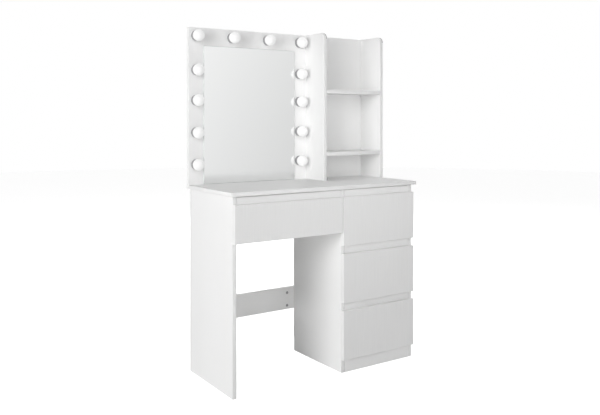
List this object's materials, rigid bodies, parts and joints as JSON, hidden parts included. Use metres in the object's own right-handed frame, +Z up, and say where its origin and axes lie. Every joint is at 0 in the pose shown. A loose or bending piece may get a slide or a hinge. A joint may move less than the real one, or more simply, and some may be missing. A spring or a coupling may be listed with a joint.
{
  "type": "vanity table with mirror",
  "caption": "White dressing table with a lamp-lined mirror on a tall rear board, an open shelf unit, a wide drawer over the knee space and a drawer pedestal.",
  "frame": {"origin": "on the floor, under the centre of the object's bounding box", "axes": "+Z up, the drawer fronts face -Y, +X towards the drawer pedestal and shelf unit"},
  "size_m": [0.9, 0.385, 1.4],
  "materials": {
    "white_laminate": "white melamine-faced board, satin, with matching edging",
    "white_hardboard": "thin hardboard, white lacquered on the face",
    "zinc_steel": "zinc-plated rolled steel",
    "zinc_fastener": "zinc die casting and zinc-plated screws",
    "mirror": "silvered glass, ground edge",
    "lamp_base_metal": "satin silver cup",
    "frosted_globe": "opal white diffuser, satin gloss",
    "wire_sleeve": "white sleeved low-voltage wire",
    "inlet_plastic": "black low-voltage socket"
  },
  "bodies": {
    "cabinet": {"worktop": "white_laminate", "left_side_panel": "white_laminate", "right_side_panel": "white_laminate", "divider_panel": "white_laminate", "plinth_board": "white_laminate", "pedestal_bottom_panel": "white_laminate", "pedestal_back_panel": "white_hardboard", "wide_top_rail": "white_laminate", "pedestal_top_rail": "white_laminate", "pedestal_upper_rail": "white_laminate", "pedestal_lower_rail": "white_laminate", "rear_stretcher": "white_laminate", "stretcher_cam_locks": "zinc_fastener", "mirror_board": "white_laminate", "mirror_glass": "mirror", "lamp_bases": "lamp_base_metal", "lamp_globes": "frosted_globe", "lamp_wire": "wire_sleeve", "power_inlet": "inlet_plastic", "mirror_board_screws": "zinc_fastener", "shelf_unit_left_panel": "white_laminate", "shelf_unit_right_panel": "white_laminate", "shelf_upper": "white_laminate", "shelf_lower": "white_laminate", "wide_drawer_slide_outer": "zinc_steel", "upper_drawer_slide_outer": "zinc_steel", "middle_drawer_slide_outer": "zinc_steel", "lower_drawer_slide_outer": "zinc_steel"},
    "wide_drawer": {"wide_drawer_front": "white_laminate", "wide_drawer_left_side": "white_laminate", "wide_drawer_right_side": "white_laminate", "wide_drawer_back": "white_laminate", "wide_drawer_bottom": "white_hardboard", "wide_drawer_slide_inner": "zinc_steel"},
    "upper_drawer": {"upper_drawer_front": "white_laminate", "upper_drawer_left_side": "white_laminate", "upper_drawer_right_side": "white_laminate", "upper_drawer_back": "white_laminate", "upper_drawer_bottom": "white_hardboard", "upper_drawer_slide_inner": "zinc_steel"},
    "middle_drawer": {"middle_drawer_front": "white_laminate", "middle_drawer_left_side": "white_laminate", "middle_drawer_right_side": "white_laminate", "middle_drawer_back": "white_laminate", "middle_drawer_bottom": "white_hardboard", "middle_drawer_slide_inner": "zinc_steel"},
    "lower_drawer": {"lower_drawer_front": "white_laminate", "lower_drawer_left_side": "white_laminate", "lower_drawer_right_side": "white_laminate", "lower_drawer_back": "white_laminate", "lower_drawer_bottom": "white_hardboard", "lower_drawer_slide_inner": "zinc_steel"},
    "wide_slides": {"wide_drawer_slide_middle": "zinc_steel"},
    "upper_slides": {"upper_drawer_slide_middle": "zinc_steel"},
    "middle_slides": {"middle_drawer_slide_middle": "zinc_steel"},
    "lower_slides": {"lower_drawer_slide_middle": "zinc_steel"}
  },
  "joints": [
    {"name": "wide_drawer_slide", "type": "slide", "parent": "cabinet", "child": "wide_drawer", "axis": [0, -1, 0], "range_m": [0, 0.28]},
    {"name": "wide_slides_extend", "type": "slide", "parent": "cabinet", "child": "wide_slides", "axis": [0, -1, 0], "range_m": [0, 0.14]},
    {"name": "upper_drawer_slide", "type": "slide", "parent": "cabinet", "child": "upper_drawer", "axis": [0, -1, 0], "range_m": [0, 0.28]},
    {"name": "upper_slides_extend", "type": "slide", "parent": "cabinet", "child": "upper_slides", "axis": [0, -1, 0], "range_m": [0, 0.14]},
    {"name": "middle_drawer_slide", "type": "slide", "parent": "cabinet", "child": "middle_drawer", "axis": [0, -1, 0], "range_m": [0, 0.28]},
    {"name": "middle_slides_extend", "type": "slide", "parent": "cabinet", "child": "middle_slides", "axis": [0, -1, 0], "range_m": [0, 0.14]},
    {"name": "lower_drawer_slide", "type": "slide", "parent": "cabinet", "child": "lower_drawer", "axis": [0, -1, 0], "range_m": [0, 0.28]},
    {"name": "lower_slides_extend", "type": "slide", "parent": "cabinet", "child": "lower_slides", "axis": [0, -1, 0], "range_m": [0, 0.14]}
  ],
  "couplings": [
    {"joint": "wide_slides_extend", "follows": "wide_drawer_slide", "ratio": 0.5},
    {"joint": "upper_slides_extend", "follows": "upper_drawer_slide", "ratio": 0.5},
    {"joint": "middle_slides_extend", "follows": "middle_drawer_slide", "ratio": 0.5},
    {"joint": "lower_slides_extend", "follows": "lower_drawer_slide", "ratio": 0.5}
  ]
}
